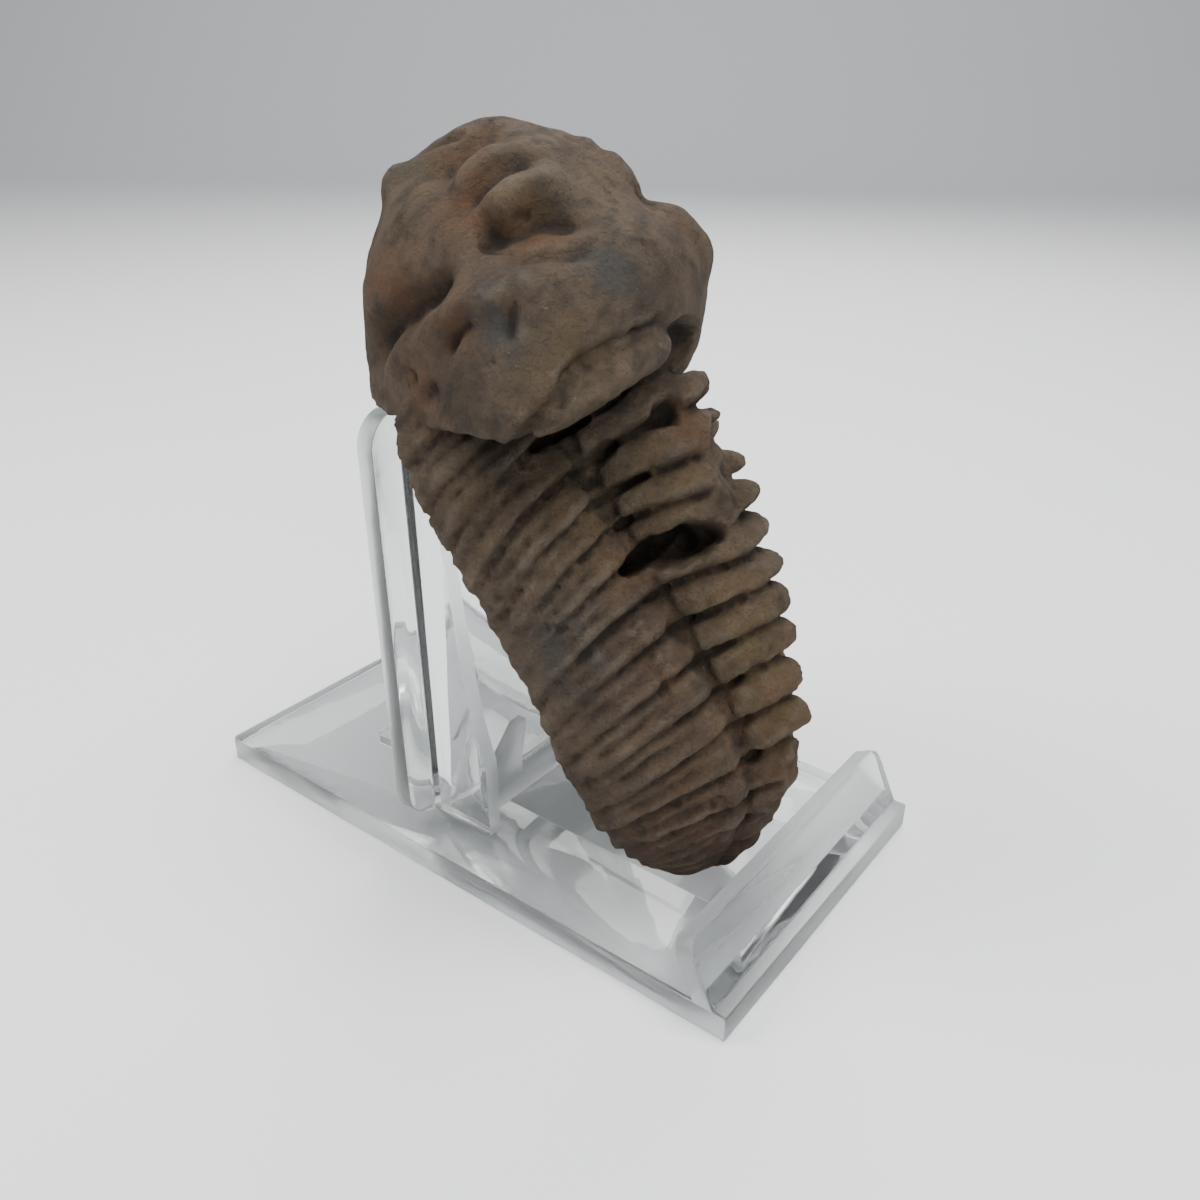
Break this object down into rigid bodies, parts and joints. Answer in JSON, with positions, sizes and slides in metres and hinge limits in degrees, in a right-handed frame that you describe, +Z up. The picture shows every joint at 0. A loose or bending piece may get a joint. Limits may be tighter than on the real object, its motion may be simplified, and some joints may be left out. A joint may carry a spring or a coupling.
{
  "type": "fossil flexicalymene trilobite on display stand",
  "caption": "Ribbed brown stone fossil of a trilobite with a bent-over head, leaning tail down on a small clear plastic display stand.",
  "frame": {"origin": "middle of the underside of the stand's base plate", "axes": "+Z up, +Y to the back of the stand, +X to the right as seen from the stand's front lip"},
  "size_m": [0.0488, 0.085, 0.0885],
  "materials": {
    "fossil_stone": "matt brown stone with rusty furrows",
    "clear_plastic": "clear moulded plastic with slightly frosted edges"
  },
  "bodies": {
    "root": {"trilobite": "fossil_stone", "stand_base": "clear_plastic", "stand_back": "clear_plastic"}
  },
  "joints": []
}
